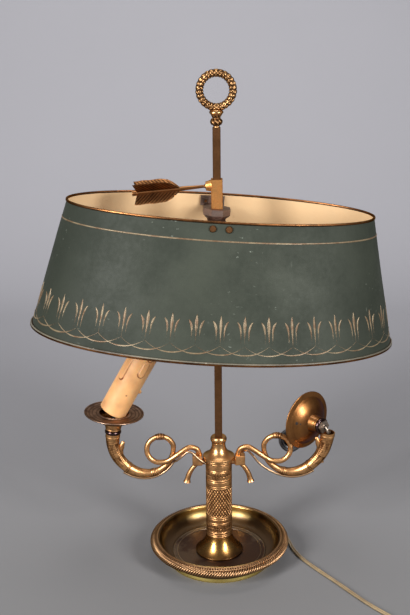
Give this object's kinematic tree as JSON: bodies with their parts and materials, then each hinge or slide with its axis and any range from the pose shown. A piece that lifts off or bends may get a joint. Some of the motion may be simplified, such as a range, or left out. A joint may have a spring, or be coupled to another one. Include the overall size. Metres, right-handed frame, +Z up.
{
  "type": "bouillotte table lamp",
  "caption": "Table lamp with a dished round base, chased column, two curled horn arms with candle fittings, and an oval tapered metal shade that slides on a square rod with a ring finial.",
  "frame": {"origin": "centre of the foot's underside, on the surface that the lamp stands on", "axes": "+Z up; X along the two arms and the long axis of the shade; -Y towards the viewer"},
  "size_m": [0.4021, 0.3716, 0.5387],
  "materials": {
    "dark_brass": "aged brass, browned, hand polished on the high places",
    "gilt_brass": "bright lacquered brass",
    "brown_brass": "dark purple-brown patina, semi-gloss",
    "bronze_trim": "dark bronzed rolled edge",
    "tole_green": "dark green painted sheet metal with gilt stencilled border, cream inside",
    "zinc_steel": "dull plated steel",
    "iron": "raw casting",
    "felt": "dark green felt",
    "candle": "cream card candle sleeve with a wax coat",
    "holder_black": "black phenolic",
    "tinned_wire": "tinned lead",
    "cord_gold": "translucent gold plastic",
    "plug_gold": "moulded gold-brown plastic",
    "pin_brass": "plated pins"
  },
  "bodies": {
    "stand": {"foot_ring": "dark_brass", "base_dish": "dark_brass", "gadrooned_rim": "gilt_brass", "felt_pad": "felt", "base_weight": "iron", "bell_foot": "dark_brass", "column": "dark_brass", "column_cap": "dark_brass", "tie_rod": "zinc_steel", "tie_rod_nut": "zinc_steel", "tie_rod_washer": "zinc_steel", "square_rod": "brown_brass", "finial_baluster": "dark_brass", "finial_ring": "dark_brass", "right_lock_nut": "tinned_wire", "right_wires": "tinned_wire", "cord_bush": "holder_black", "cord": "cord_gold", "cord_coil": "cord_gold", "cord_tail": "cord_gold", "plug_body": "plug_gold", "plug_pins": "pin_brass", "left_lug": "gilt_brass", "left_horn": "gilt_brass", "left_loop_tube": "gilt_brass", "left_wire_tube": "gilt_brass", "left_mouthpiece": "gilt_brass", "left_collar_bead": "brown_brass", "left_candle_cup": "gilt_brass", "left_drip_pan": "brown_brass", "left_nipple": "gilt_brass", "left_lampholder": "holder_black", "right_lug": "gilt_brass", "right_horn": "gilt_brass", "right_loop_tube": "gilt_brass", "right_wire_tube": "gilt_brass", "right_mouthpiece": "gilt_brass", "right_collar_bead": "brown_brass", "right_candle_cup": "gilt_brass", "right_drip_pan": "gilt_brass", "right_nipple": "tinned_wire", "right_lampholder": "holder_black"},
    "shade": {"shade_shell": "tole_green", "shade_top_bead": "bronze_trim", "shade_bottom_bead": "bronze_trim", "slider_block": "gilt_brass", "carrier_hub": "zinc_steel", "carrier_bar": "zinc_steel", "carrier_screws": "zinc_steel", "carrier_nuts": "iron"},
    "key": {"arrow_key": "dark_brass"},
    "candle": {"left_candle_sleeve": "candle"}
  },
  "joints": [
    {"name": "shade_slide", "type": "slide", "parent": "stand", "child": "shade", "axis": [0, 0, 1], "range_m": [-0.09, 0.048]},
    {"name": "key_turn", "type": "hinge", "parent": "shade", "child": "key", "pos_m": [-0.0043, 0, 0.4234], "axis": [-0.9959, 0, -0.0906], "range_deg": [-180, 180]},
    {"name": "candle_lift", "type": "slide", "parent": "stand", "child": "candle", "axis": [0.4924, 0, 0.8704], "range_m": [0, 0.045]}
  ]
}
